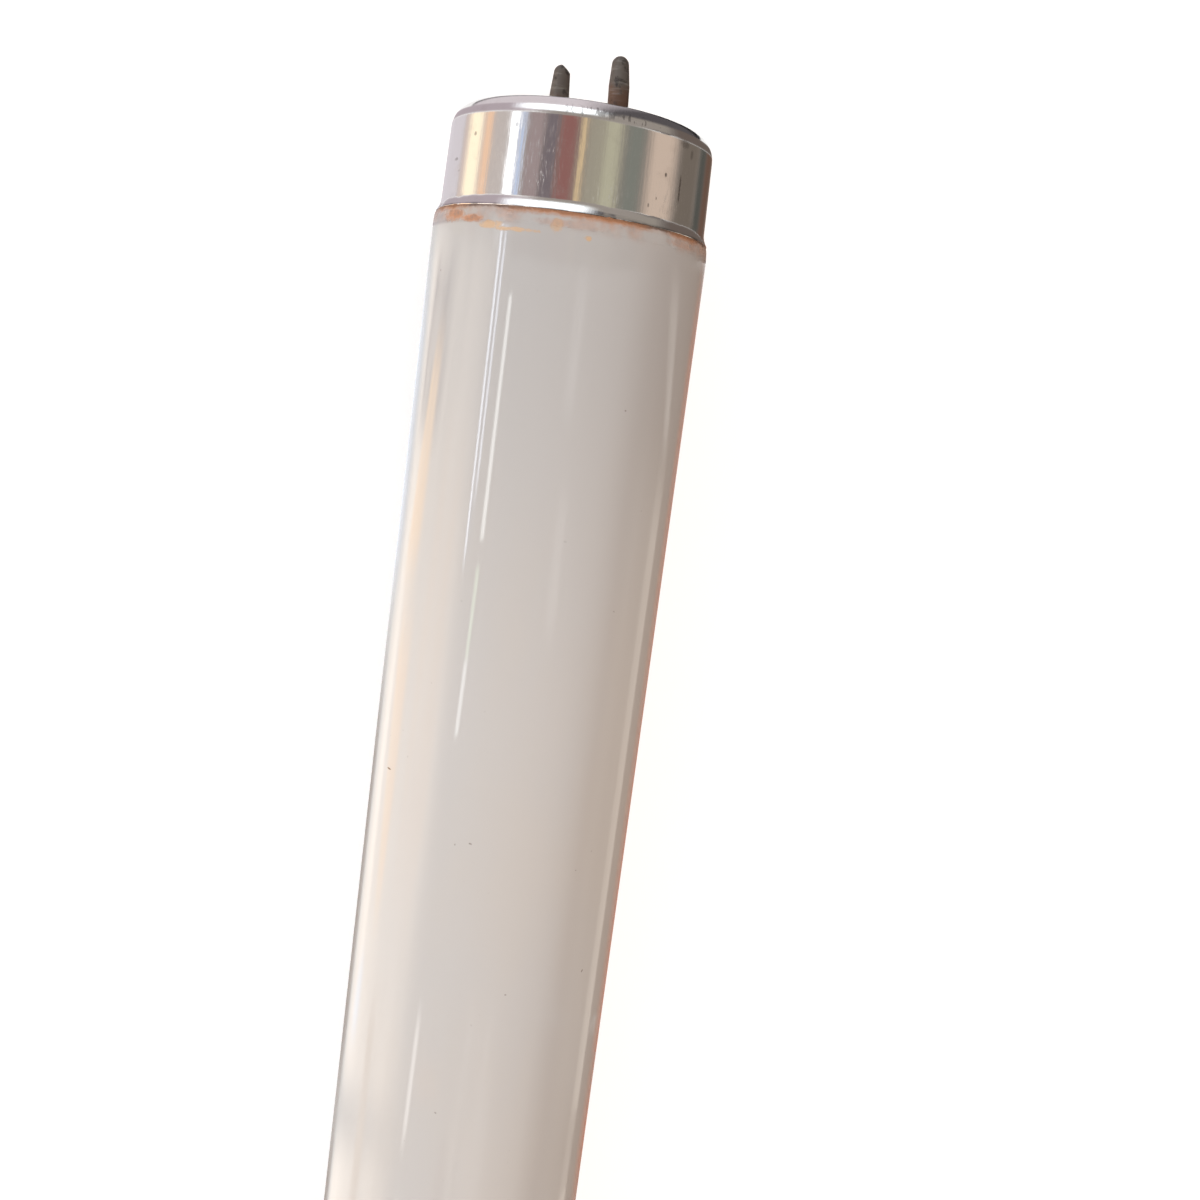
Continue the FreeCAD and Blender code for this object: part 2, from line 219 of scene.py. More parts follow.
# What stands round the tube is seen only mirrored in it. Each card is given by where its mirror image
# lies on the tube at end A, and the same cards stand round end B.
studio = {
    "floorColour": (0.55, 0.55, 0.55),
    "floorSize": 6.0,
    "floorGap": 0.02 * mm,        # under the tube
    "floorGlow": 0.65,            # lights nothing, and makes the unshadowed floor white
    "worldBright": (1.50, 1.48, 1.48),      # low on the side of the front lamp
    "worldDim": (0.44, 0.37, 0.33),         # overhead and on the far side
    "worldFade": (-0.8, 0.5),               # from bright to dim, counted in Y and a share of Z
    "worldHeightShare": 0.6,
    "lamps": [
        {"name": "frontBox", "round": -38.0, "distance": 1.0, "long": 1.4, "wide": 0.5, "watts": 5.0,
         "colour": (1.0, 1.0, 1.0)},
        {"name": "topBox", "round": 75.0, "distance": 1.4, "long": 1.6, "wide": 1.0, "watts": 8.0,
         "colour": (1.0, 0.86, 0.74)},
    ],
    "cardDistance": 0.30,
    "cardSpacing": 0.002,
    "cardGrid": (16, 12),         # faces across and along
    "foldGrain": (5.0, 1.3, 1.0),
    # name, degrees at its outer and at its inner end, inside from and to, colour, strength,
    # soft sides, soft ends, folds
    "glassCards": [
        ("lamp", (-21.5, -19.2), (-21.5, -19.2), (9, 36.5), (0.96, 1.0, 0.98), 8.0, 0.45, 0.03, 0),
        ("lampGreen", (-21.4, -19.5), (-21.6, -19.8), (38.5, 50), (0.75, 1.0, 0.72), 5.0, 0.4, 0.1, 0),
        ("lampEnd", (-21.8, -19.6), (-22.2, -20.0), (49, 59), (0.95, 1.0, 1.0), 6.5, 0.4, 0.12, 0),
        ("sillLeft", (-28.0, -26.5), (-27.2, -25.9), (-1, 41), (0.80, 0.88, 1.0), 11.0, 0.45, 0.12, 0),
        ("sillRight", (-26.1, -24.7), (-25.5, -24.2), (-1, 34), (0.78, 0.86, 1.0), 9.0, 0.45, 0.2, 0),
        ("sill", (-28.0, -24.2), (-27.4, -24.0), (-1, 43), (0.72, 0.82, 1.0), 1.6, 0.35, 0.2, 0),
        ("creamTop", (-56, -50), (-64, -50), (10, 46), (1.0, 0.66, 0.36), 4.4, 0.3, 0.3, 0.3),
        ("creamFoot", (-62, -48), (-54, -49), (40, 88), (1.0, 0.68, 0.42), 4.2, 0.3, 0.3, 0.3),
        ("curtain", (-47, -29), (-44, -30), (16, 92), (1.0, 0.78, 0.62), 3.6, 0.25, 0.3, 0.8),
        ("blush", (-69, -44), (-66, -46), (1, 30), (1.0, 0.86, 0.84), 1.0, 0.3, 0.3, 0.4),
        ("skyEdge", (-90, -65), (-90, -63), (1, 50), (0.84, 0.90, 1.0), 1.5, 0.35, 0.3, 0.2),
        ("lowPatch", (-64, -57), (-66, -57), (86, 102), (0.86, 0.91, 1.0), 3.2, 0.45, 0.4, 0),
        ("lowCream", (-50, -44), (-50, -42), (90, 122), (1.0, 0.80, 0.62), 2.4, 0.4, 0.25, 0.3),
        ("lowSpark", (-24.2, -21.2), (-24.8, -21.8), (89, 111), (1.0, 0.98, 0.95), 5.5, 0.5, 0.3, 0),
        ("lowGlow", (-24, -8), (-24, -8), (96, 104), (1.0, 0.75, 0.58), 1.4, 0.4, 0.5, 0),
        ("paleHigh", (3, 9), (4, 10), (3, 24), (1.0, 1.0, 1.0), 2.0, 0.4, 0.3, 0.3),
        ("paleMiddle", (6, 13), (8, 14), (27, 49), (1.0, 1.0, 1.0), 2.0, 0.4, 0.3, 0.3),
        ("paleLow", (-7, 12), (-4, 14), (83, 124), (1.0, 0.98, 0.96), 1.7, 0.3, 0.3, 0.9),
        ("paleRight", (19, 27), (22, 30), (62, 124), (1.0, 0.97, 0.93), 1.0, 0.4, 0.3, 0.6),
        ("sideTop", (42, 52), (56, 62), (2, 27), (1.0, 0.92, 0.84), 1.5, 0.45, 0.3, 0.2),
        ("side", (54, 62), (54, 62), (22, 116), (1.0, 0.90, 0.78), 1.5, 0.3, 0.15, 0.2),
        ("sideWide", (36, 62.5), (38, 62.5), (16, 118), (1.0, 0.90, 0.78), 0.8, 0.3, 0.2, 0.2),
        ("redEdge", (66, 86), (66, 86), (-1, 122), (1.0, 0.30, 0.14), 0.55, 0.3, 0.1, 0.4),
        ("greyEdge", (-87, -70), (-87, -68), (44, 122), (1.0, 0.84, 0.74), 0.36, 0.25, 0.3, 0.2),
        ("leftRoom", (-76, -21), (-72, -23), (-3, 112), (1.0, 0.90, 0.80), 3.6, 0.25, 0.10, 0.25),
        ("rightRoom", (22, 90), (22, 90), (0, 125), (1.0, 0.70, 0.52), 0.22, 0.3, 0.03, 0),
    ],
    "capInside": (-11, 0.5),      # what the cap's wall shows, from its corner to its rim
    "capLean": (7, -1.5),
    "capSoftEnds": 0.03,
    # name, degrees round from and to, colour, strength, soft sides
    "capCards": [
        ("edgePink", (76, 88), (1.0, 0.66, 0.52), 0.26, 0.3),
        ("umber", (65, 78), (1.0, 0.60, 0.44), 0.15, 0.4),
        ("slate", (57, 68), (0.95, 0.95, 0.85), 0.10, 0.4),
        ("taupe", (42, 61), (1.0, 0.84, 0.70), 0.18, 0.3),
        ("sand", (24.5, 46), (1.0, 0.80, 0.66), 0.64, 0.35),
        ("teal", (14, 29), (0.96, 1.0, 0.88), 0.23, 0.45),
        ("sage", (5, 19), (1.0, 0.96, 0.72), 0.50, 0.45),
        ("olive", (0.5, 9), (1.0, 0.92, 0.74), 0.37, 0.35),
        ("gilt", (-2, 2.4), (1.0, 0.76, 0.46), 0.74, 0.5),
        ("maroon", (-11, -0.5), (1.0, 0.46, 0.42), 0.29, 0.35),
        ("dusk", (-17, -8), (1.0, 0.84, 0.92), 0.19, 0.35),
        ("mauve", (-24, -14), (1.0, 0.80, 0.80), 0.37, 0.3),
        ("fringe", (-27, -23), (0.62, 0.74, 1.0), 0.9, 0.5),
        ("window", (-31.5, -26), (0.92, 0.96, 1.0), 2.2, 0.35),
        ("stone", (-41.5, -30), (1.0, 0.90, 0.86), 0.60, 0.3),
        ("apricot", (-46, -36.5), (1.0, 0.68, 0.48), 0.98, 0.4),
        ("cream", (-56.5, -43), (1.0, 0.87, 0.66), 1.3, 0.35),
        ("rose", (-59, -52), (1.0, 0.84, 0.78), 0.72, 0.3),
        ("lilac", (-88, -56), (1.0, 0.94, 1.0), 0.74, 0.15),
        ("underLeft", (-90, -22), (1.0, 0.92, 0.90), 0.60, 0.05),
        ("underMiddle", (-26, 64), (1.0, 0.86, 0.76), 0.26, 0.05),
        ("underRight", (60, 90), (1.0, 0.76, 0.64), 0.15, 0.05),
    ],
    # what the rounded corner and the lip of the cap show, which lean outwards:
    # name, degrees round from and to, degrees of lean from and to, colour, strength, soft edges
    "cornerCards": [
        ("opening", (-34, 12), (12, 33), (0.88, 0.95, 1.0), 2.4, 0.35),
        ("cornerDusk", (-26, 34), (3, 25), (1.0, 0.90, 0.82), 0.34, 0.25),
        ("cornerPale", (10, 44), (5, 33), (1.0, 0.90, 0.80), 0.33, 0.3),
        ("cornerBrown", (34, 89), (4, 33), (1.0, 0.80, 0.70), 0.15, 0.2),
        ("cornerLilac", (-88, -18), (6, 32), (1.0, 0.86, 0.94), 0.50, 0.2),
    ],
    "endWallDistance": 1.25,      # a wall beyond the pins, pale but for its foot and its right side
    "endWallSize": 2.2,
    "endWallColour": (0.72, 0.66, 0.70),
    "endWallFoot": (-2.1, -1.3, 0.15, 1.0),   # from and to in metres, and how bright it is there
    "endWallRight": (-0.1, 0.4, 1.0, 0.14),
}


# where a ray from the camera goes after the tube mirrors it, at a place whose surface may lean outwards
def mirrored(degrees, inside, lean, radius, distance):
    out = around(degrees)
    point = alongTube * (capRim["a"] + inside * mm) + out * radius
    tilt = math.radians(lean)
    normal = out * math.cos(tilt) - alongTube * math.sin(tilt)
    sight = (point - cameraPlace).normalized()
    ray = sight - normal * 2 * sight.dot(normal)
    across = ray.y ** 2 + ray.z ** 2
    slope = point.y * ray.y + point.z * ray.z
    gap = point.y ** 2 + point.z ** 2 - distance ** 2
    return point + ray * ((math.sqrt(slope ** 2 - across * gap) - slope) / across)


def showOnlyMirrored(thing):
    for ray in ("camera", "diffuse", "shadow", "transmission", "volume_scatter"):
        setattr(thing, f"visible_{ray}", False)


def makeCard(number, name, outer, inner, inside, lean, radius, material):
    distance = studio["cardDistance"] + number * studio["cardSpacing"]
    for end, direction in endDirections.items():
        shape = bmesh.new()
        shape.loops.layers.uv.new("spread")
        columns, rows = studio["cardGrid"]
        bmesh.ops.create_grid(shape, x_segments=columns, y_segments=rows, size=1.0, calc_uvs=True)
        for vert in shape.verts:
            u, v = (vert.co.x + 1) / 2, (vert.co.y + 1) / 2
            first, last = [outer[side] + (inner[side] - outer[side]) * v for side in (0, 1)]
            spot = mirrored(first + (last - first) * u, inside[0] + (inside[1] - inside[0]) * v,
                            lean[0] + (lean[1] - lean[0]) * v, radius, distance)
            vert.co = Vector((-direction * spot.x, spot.y, spot.z))
        showOnlyMirrored(addStage(shape, f"card_{name}_{end}", material))


def cardPaint(name, colour, strength, softSides, softEnds, folds):
    paint = newPaint(f"card_{name}", {})
    spread = paint.node("ShaderNodeUVMap", {"uv_map": "spread"}, {})
    u, v, _ = paint.axes(spread)
    mask = paint.ramp(u, 0, softSides) * paint.ramp(1 - u, 0, softSides)
    mask = mask * paint.ramp(v, 0, softEnds) * paint.ramp(1 - v, 0, softEnds)
    if folds:
        wander = paint.grain(paint.stretch(spread, studio["foldGrain"]), 1.0)
        mask = mask * paint.ramp(wander, 0.38, 0.62, 1 - folds, 1.0)
    glow = paint.node("ShaderNodeEmission", {}, {"Color": (*colour, 1), "Strength": strength})
    clear = paint.node("ShaderNodeBsdfTransparent", {}, {})
    mixed = paint.node("ShaderNodeMixShader", {}, {0: mask, 1: clear, 2: glow})
    paint.tree.links.new(mixed.socket, paint.tree.nodes["Material Output"].inputs["Surface"])
    return paint.material


def makeCards():
    wall = glassRadius - cap["step"]
    corner = studio["capInside"][0]
    cards = []
    for name, outer, inner, inside, colour, strength, sides, ends, folds in studio["glassCards"]:
        material = cardPaint(name, colour, strength, sides, ends, folds)
        cards.append((name, outer, inner, inside, (0, 0), glassRadius, material))
    for name, spread, colour, strength, sides in studio["capCards"]:
        material = cardPaint(name, colour, strength, sides, studio["capSoftEnds"], 0)
        cards.append((name, spread, spread, studio["capInside"], studio["capLean"], wall, material))
    for name, spread, lean, colour, strength, soft in studio["cornerCards"]:
        material = cardPaint(name, colour, strength, soft, soft, 0)
        cards.append((name, spread, spread, (corner, corner), lean, wall, material))
    for number, card in enumerate(cards):
        makeCard(number, *card)


def makeWorld():
    world = bpy.data.worlds.new("paleRoom")
    bpy.context.scene.world = world
    sky = Paint(world, "Background", {})
    _, y, z = sky.axes(sky.node("ShaderNodeTexCoord", {}, {}, "Generated"))
    low, high = studio["worldFade"]
    across = y + z * studio["worldHeightShare"]
    dimmed = sky.node("ShaderNodeMapRange", {}, {"Value": across, "From Min": low, "From Max": high})
    room = sky.mix(dimmed, studio["worldBright"], studio["worldDim"])
    sky.feed("Color", sky.mix(sky.seen(), room, (1, 1, 1)))


def makeLamp(lamp):
    data = bpy.data.lights.new(lamp["name"], "AREA")
    data.shape = "RECTANGLE"
    data.size, data.size_y = lamp["wide"], lamp["long"]
    data.energy, data.color = lamp["watts"], lamp["colour"]
    holder = bpy.data.objects.new(lamp["name"], data)
    bpy.context.scene.collection.objects.link(holder)
    holder.visible_glossy = False
    out = around(lamp["round"])
    # a lamp shines along its own -Z, and its long side lies along the tube
    turn = Matrix((alongTube.cross(out), alongTube, out)).transposed().to_4x4()
    holder.matrix_world = Matrix.Translation(out * lamp["distance"]) @ turn


def addStage(shape, name, material):
    data = bpy.data.meshes.new(name)
    shape.to_mesh(data)
    shape.free()
    data.materials.append(material)
    thing = bpy.data.objects.new(name, data)
    bpy.context.scene.collection.objects.link(thing)
    return thing


def makeFloor():
    paint = newPaint("paleFloor", {"Roughness": 0.9, "Specular IOR Level": 0.0, "Emission Strength": 1.0})
    paint.shader.inputs["Base Color"].default_value = (*studio["floorColour"], 1)
    glow = (studio["floorGlow"],) * 3
    paint.feed("Emission Color", paint.mix(paint.seen(), (0, 0, 0), glow))
    shape = bmesh.new()
    bmesh.ops.create_grid(shape, x_segments=1, y_segments=1, size=studio["floorSize"])
    bmesh.ops.translate(shape, verts=shape.verts[:], vec=(0, 0, glassLow.z - studio["floorGap"]))
    floor = addStage(shape, "floor", paint.material)
    floor.visible_glossy = False


def makeEndWalls():
    black = {"Base Color": (0, 0, 0, 1), "Specular IOR Level": 0.0, "Emission Strength": 1.0}
    paint = newPaint("endWall", black)
    _, facing, aside = paint.sides()
    bright = paint.ramp(facing, *studio["endWallFoot"]) * paint.ramp(aside, *studio["endWallRight"])
    paint.feed("Emission Color", paint.mix(bright, (0, 0, 0), studio["endWallColour"]))
    for end, direction in endDirections.items():
        shape = bmesh.new()
        bmesh.ops.create_grid(shape, x_segments=1, y_segments=1, size=studio["endWallSize"])
        bmesh.ops.rotate(shape, verts=shape.verts[:], matrix=Matrix.Rotation(math.pi / 2, 3, "Y"))
        bmesh.ops.translate(shape, verts=shape.verts[:],
                            vec=(capFace[end] + direction * studio["endWallDistance"], 0, 0))
        showOnlyMirrored(addStage(shape, f"endWall_{end}", paint.material))


# Materials
glass = {
    "body": (0.510, 0.488, 0.470),
    "warm": (0.520, 0.488, 0.458),
    # painted shade: the coating's colour at the caps, darker where less light reaches the tube, and how
    # far from the rim in mm it fades out
    "wearAndShade": (0.425, 0.410, 0.400),
    "shadeLength": 62.0,
    "speck": (0.14, 0.10, 0.08),
    "rust": (0.46, 0.17, 0.05),
    "ochre": (0.58, 0.33, 0.13),
    "brown": (0.24, 0.12, 0.07),
    "roughness": 0.03,
    "stainRoughness": 0.4,
    "waveHeight": 0.4 * mm,
    "waveStrength": 0.35,
    # inside, degrees round, half length in mm, half width in degrees, strength
    "stains": [
        (1.2, -54.0, 0.8, 9.0, 1.0),
        (1.5, -43.0, 0.5, 8.0, 1.0),
        (0.9, -66.0, 0.6, 5.0, 0.35),
        (1.3, 0.0, 0.5, 16.0, 0.35),
        (1.1, 52.0, 0.5, 12.0, 0.5),
        (1.4, 150.0, 0.7, 14.0, 0.6),
        (1.3, -120.0, 0.7, 9.0, 0.5),
    ],
    "ochreStains": [
        (2.1, -33.0, 0.45, 6.0, 0.8),
        (2.45, -22.0, 0.25, 10.0, 0.8),
        (1.6, -5.6, 0.9, 2.6, 0.6),
        (2.5, 6.3, 0.35, 1.6, 0.85),
    ],
    "nicks": [(64.8, -55.7, 0.12, 1.6, 1.0), (20.0, 31.0, 0.10, 0.5, 0.5), (88.0, 12.0, 0.10, 0.5, 0.5)],
}


# the coating's colour with its stains and with painted shade towards the caps, and where it is stained;
# the cement's thin edge takes it over
def coating(paint, spot, inside, nearer, degrees):
    clouds = paint.grain(paint.stretch(spot, (0.35, 1, 1)), 90.0, 4.0)
    colour = paint.mix(paint.ramp(clouds, 0.35, 0.7), glass["body"], glass["warm"])
    # painted shade: the coating turns darker towards the nearer cap, where the tube gets less light
    colour = paint.mix(paint.ramp(nearer, 0.0, glass["shadeLength"], 1.0, 0.0), colour, glass["wearAndShade"])
    ragged = paint.grain(spot, 1100.0, 4.0, 0.65)
    rust = paint.spots(glass["stains"], inside, degrees, ragged, 2.6)
    creep = paint.ramp(nearer, 0.8, 2.4, 0.5, 0.0) * paint.ramp(paint.grain(spot, 260.0, 3.0), 0.40, 0.62)
    rust = paint.either(rust, creep)
    ochre = paint.spots(glass["ochreStains"], inside, degrees, ragged, 3.4)
    colour = paint.mix(ochre * 0.8, colour, glass["ochre"])
    rusty = paint.mix(paint.ramp(ragged, 0.3, 0.55), glass["brown"], glass["rust"])
    return paint.mix(rust * 0.8, colour, rusty), paint.either(rust, ochre)


def glassPaint():
    paint = newPaint("coatedGlass", {"IOR": 1.5})
    inside, nearer, degrees = paint.tubePlace()
    spot = paint.place()
    colour, stained = coating(paint, spot, inside, nearer, degrees)
    specks = paint.ramp(paint.grain(spot, 1500.0, 1.0), 0.76, 0.80)
    specks = specks * paint.ramp(paint.grain(spot, 210.0, 2.0), 0.56, 0.68)
    nicks = paint.spots(glass["nicks"], inside, degrees, specks, 0.3)
    paint.feed("Base Color", paint.mix(paint.either(nicks, specks * 0.6), colour, glass["speck"]))
    paint.feed("Roughness", glass["roughness"] + stained * glass["stainRoughness"])
    waves = paint.grain(paint.stretch(spot, (0.10, 1, 1)), 120.0, 1.0)
    paint.feed("Normal", paint.bump(waves, glass["waveHeight"], glass["waveStrength"]))
    return paint.material


capMetal = {
    "colour": (0.86, 0.84, 0.82),
    "dull": (0.66, 0.62, 0.59),
    "mark": (0.08, 0.06, 0.05),
    "roughness": 0.085,
    "cloudRoughness": 0.07,
    "scratchRoughness": 0.24,
    "markRoughness": 0.2,
    "relief": 0.04 * mm,
    # inside, degrees round, half length in mm, half width in degrees, strength
    "nicks": [
        (-4.8, 46.5, 1.6, 0.7, 0.85),
        (-5.8, 37.6, 0.25, 0.7, 0.9),
        (-7.7, -49.8, 0.25, 0.9, 0.6),
        (-5.2, -63.0, 0.2, 2.0, 0.5),
        (-9.6, 47.0, 0.5, 3.0, 0.5),
        (-8.8, 52.5, 0.6, 1.2, 0.4),
        (-8.6, -28.0, 0.35, 0.9, 0.5),
        (-2.2, 30.5, 0.25, 0.5, 0.6),
        (-3.1, 34.0, 0.2, 0.4, 0.6),
    ],
    # where fine scratches have taken the polish off
    "scuffs": [(-5.0, -15.0, 4.5, 9.0, 0.6), (-3.0, 40.0, 3.0, 9.0, 0.55), (-2.0, 12.0, 1.6, 10.0, 0.5)],
    # the row of short strokes along the corner
    "burrInside": (-11.1, -10.2),
    "burrDegrees": (-10.0, 30.0),
}


def capPaint():
    paint = newPaint("polishedAluminium", {"Metallic": 1.0})
    inside, nearer, degrees = paint.tubePlace()
    spot = paint.place()
    clouds = paint.grain(spot, 330.0, 5.0, 0.65)
    ragged = paint.grain(spot, 1500.0, 3.0, 0.6)
    slanted = paint.stretch(spot, (0.16, 1, 1), (0, 0.5, 0.45))
    scratches = paint.ramp(paint.grain(slanted, 6500.0), 0.50, 0.74)
    scuffed = paint.spots(capMetal["scuffs"], inside, degrees, clouds, 3.0)
    rubbed = scratches * (scuffed + 0.2)
    nicks = paint.spots(capMetal["nicks"], inside, degrees, ragged, 1.6)
    strokes = paint.ramp(paint.grain(paint.stretch(spot, (0.10, 1, 1)), 2600.0, 1.0), 0.52, 0.60)
    low, high = capMetal["burrInside"]
    first, last = capMetal["burrDegrees"]
    uneven = inside + (ragged - 0.5) * 0.8
    burr = paint.ramp(uneven, low - 0.2, low + 0.2)
    burr = burr * paint.ramp(uneven, high - 0.2, high + 0.2, 1.0, 0.0)
    burr = burr * paint.ramp(degrees, first, first + 3) * paint.ramp(degrees, last - 3, last, 1.0, 0.0)
    marks = paint.either(nicks, burr * strokes * 0.6)
    pits = paint.ramp(paint.grain(spot, 2300.0, 2.0), 0.72, 0.77) * paint.ramp(clouds, 0.5, 0.62)
    marks = paint.either(marks, pits * 0.7)
    dirt = paint.ramp(nearer, -0.35, -0.02) * paint.ramp(clouds, 0.35, 0.6, 0.25, 0.85)
    colour = paint.mix(paint.ramp(clouds, 0.5, 0.8) * 0.45, capMetal["colour"], capMetal["dull"])
    colour = paint.mix(paint.either(marks, dirt) * 0.9, colour, capMetal["mark"])
    paint.feed("Base Color", colour)
    rough = capMetal["roughness"] + paint.ramp(clouds, 0.45, 0.75) * capMetal["cloudRoughness"]
    rough = rough + rubbed * capMetal["scratchRoughness"] + marks * capMetal["markRoughness"]
    paint.feed("Roughness", rough)
    fine = paint.grain(paint.stretch(spot, (0.06, 1, 1)), 3600.0, 2.0)
    relief = fine * 0.25 + ragged * 0.2 - rubbed * 0.06 - marks * 0.08
    paint.feed("Normal", paint.bump(relief, capMetal["relief"], 0.5))
    return paint.material


cement = {
    "rust": (0.40, 0.17, 0.07),
    "dark": (0.11, 0.06, 0.04),
    "body": (0.36, 0.27, 0.20),
    "line": 0.32,            # the dark line under the lip, in mm
    "rustReach": 0.85,
    "roughness": 0.03,
    "crustRoughness": 0.5,
    "relief": 0.08 * mm,
    # inside, degrees round, half length in mm, half width in degrees, strength
    "browned": [(0.3, 3.0, 1.0, 30.0, 1.0), (0.3, 52.0, 1.0, 13.0, 0.9), (0.2, -62.0, 0.8, 16.0, 0.8),
                (0.2, 170.0, 1.0, 70.0, 0.7)],
}


def cementPaint():
    paint = newPaint("rustyCement", {"IOR": 1.5})
    inside, nearer, degrees = paint.tubePlace()
    spot = paint.place()
    colour, stained = coating(paint, spot, inside, nearer, degrees)
    patches = paint.grain(spot, 420.0, 5.0, 0.65)
    crumbs = paint.grain(spot, 2600.0, 3.0)
    uneven = nearer + (crumbs - 0.5) * 0.4 + (patches - 0.5) * 0.8
    browned = paint.spots(cement["browned"], nearer, degrees, patches, 1.5)
    rusty = paint.ramp(uneven, 0.2, cement["rustReach"], 1.0, 0.0) * (browned * 0.7 + 0.25)
    line = paint.ramp(uneven, cement["line"] * 0.4, cement["line"] * 1.2, 1.0, 0.0)
    colour = paint.mix(rusty, colour, cement["rust"])
    colour = paint.mix(line * 0.85, colour, paint.mix(browned * 0.6, cement["dark"], cement["rust"]))
    colour = paint.mix(paint.ramp(nearer, -0.2, -0.1, 1.0, 0.0), colour, cement["body"])
    paint.feed("Base Color", colour)
    crust = paint.either(rusty, line)
    paint.feed("Roughness", cement["roughness"] + paint.either(crust, stained) * cement["crustRoughness"])
    paint.feed("Normal", paint.bump((crumbs + patches) * crust, cement["relief"], 0.6))
    return paint.material


phenolic = {
    "colour": (0.16, 0.075, 0.035),
    "fleck": (0.28, 0.15, 0.08),
    "roughness": 0.42,
    "fleckRoughness": 0.2,
    "relief": 0.05 * mm,
}


def phenolicPaint():
    paint = newPaint("brownPhenolic", {})
    flecks = paint.grain(paint.place(), 1500.0, 4.0, 0.7)
    flecked = paint.ramp(flecks, 0.5, 0.72)
    paint.feed("Base Color", paint.mix(flecked, phenolic["colour"], phenolic["fleck"]))
    paint.feed("Roughness", phenolic["roughness"] + flecks * phenolic["fleckRoughness"])
    paint.feed("Normal", paint.bump(flecks, phenolic["relief"], 0.5))
    return paint.material


pinMetal = {
    "foot": (0.125, 0.072, 0.05),
    "shank": (0.125, 0.108, 0.095),
    "dark": (0.035, 0.028, 0.026),
    "wearAndShade": (0.36, 0.34, 0.31),
    "footHeight": (2.4, 4.4),     # in mm over the end face, where the foot's colour fades
    "roughness": 0.34,
    "blotchRoughness": 0.3,
    "relief": 0.06 * mm,
}


def pinPaint():
    paint = newPaint("oxidisedBrass", {"Metallic": 0.55})
    _, nearer, _ = paint.tubePlace()
    spot = paint.place()
    blotches = paint.grain(spot, 800.0, 4.0, 0.6)
    rings = paint.grain(paint.stretch(spot, (1, 0.15, 0.15)), 3000.0, 2.0)
    height = (capFace["a"] - capRim["a"]) / mm - nearer
    over = paint.ramp(height + (blotches - 0.5) * 3, *pinMetal["footHeight"])
    colour = paint.mix(over, pinMetal["foot"], pinMetal["shank"])
    colour = paint.mix(paint.ramp(blotches, 0.54, 0.68) * 0.8, colour, pinMetal["dark"])
    colour = paint.mix(paint.ramp(rings, 0.50, 0.80) * 0.35, colour, pinMetal["wearAndShade"])
    paint.feed("Base Color", colour)
    paint.feed("Roughness", pinMetal["roughness"] + blotches * pinMetal["blotchRoughness"])
    paint.feed("Normal", paint.bump(rings * 0.4 + blotches, pinMetal["relief"], 0.7))
    return paint.material


leadWire = {"dark": (0.42, 0.38, 0.33), "light": (0.60, 0.56, 0.50), "roughness": 0.4}


def wirePaint():
    paint = newPaint("drawnWire", {"Metallic": 1.0, "Roughness": leadWire["roughness"]})
    streaks = paint.grain(paint.stretch(paint.place(), (0.1, 1, 1)), 2500.0)
    paint.feed("Base Color", paint.mix(streaks, leadWire["dark"], leadWire["light"]))
    return paint.material


# Shapes: an outline in (place along the tube, distance from its axis) is spun round the axis.
# A ring this close beyond a rounding keeps the straight wall's shading even.
evenGap = 0.15 * mm
sharpFrom = math.radians(38)     # an edge that turns more than this looks sharp


def startShape(outline, closed):
    shape = bmesh.new()
    corners = [shape.verts.new((along, 0, radius)) for along, radius in outline]
    pairs = list(zip(corners, corners[1:]))
    if closed:
        pairs.append((corners[-1], corners[0]))
    for pair in pairs:
        shape.edges.new(pair)
    return shape, corners


def roundCorners(shape, corners, sizes, segments):
    # sizes gives, for a corner's number, the length that the rounding takes off each side of it
    for number, size in sizes.items():
        bmesh.ops.bevel(shape, geom=[corners[number]], affect="VERTICES", offset=size, segments=segments,
                        profile=0.5, material=-1)


def spinShape(shape, steps):
    bmesh.ops.spin(shape, geom=shape.verts[:] + shape.edges[:], cent=(0, 0, 0), axis=(1, 0, 0),
                   dvec=(0, 0, 0), angle=math.tau, steps=steps, use_merge=True)
    bmesh.ops.remove_doubles(shape, verts=shape.verts[:], dist=1e-7)


def everything(shape):
    return shape.verts[:] + shape.edges[:] + shape.faces[:]


def finishPiece(shape, name, material, node):
    bmesh.ops.recalc_face_normals(shape, faces=shape.faces[:])
    for face in shape.faces:
        face.smooth = True
    data = bpy.data.meshes.new(name)
    shape.to_mesh(data)
    shape.free()
    data.materials.append(material)
    piece = bpy.data.objects.new(name, data)
    bpy.context.scene.collection.objects.link(piece)
    data.set_sharp_from_angle(angle=sharpFrom)
    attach(piece, "root")
    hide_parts(node)


tube = {
    "steps": 192,
    "shoulderBack": 1.9 * mm,      # where the glass starts to turn in, inside the rim
    "shoulderRounding": 0.83 * mm,
    "neckRadius": 14.7 * mm,
    "neckFoot": 0.5 * mm,          # where the neck starts, outside the rim
    "rimBevel": 0.6 * mm,
    "flareMouth": 11.0 * mm,
    "flareDepth": 18.0 * mm,
    "stemBore": 4.6 * mm,
    "stemDepth": 26.0 * mm,
}


def makeGlass(material):
    glassEnd = glassHigh.x
    rim = capRim["b"]
    half = [
        (glassEnd - tube["stemDepth"], 0),
        (glassEnd - tube["stemDepth"], tube["stemBore"]),
        (glassEnd - tube["flareDepth"], tube["stemBore"]),
        (glassEnd, tube["flareMouth"]),
        (glassEnd, tube["neckRadius"] - tube["rimBevel"]),
        (glassEnd - tube["rimBevel"], tube["neckRadius"]),
        (rim + tube["neckFoot"], tube["neckRadius"]),
        (rim - tube["shoulderBack"] + tube["shoulderRounding"], glassRadius),
        (rim - tube["shoulderBack"] - evenGap, glassRadius),
    ]
    outline = half + [(-along, radius) for along, radius in reversed(half)]
    shape, corners = startShape(outline, False)
    shoulder = len(half) - 2
    rounding = tube["shoulderRounding"]
    roundCorners(shape, corners, {shoulder: rounding, len(outline) - 1 - shoulder: rounding}, 6)
    spinShape(shape, tube["steps"])
    finishPiece(shape, "bulbGlass", material, "glass_tube")


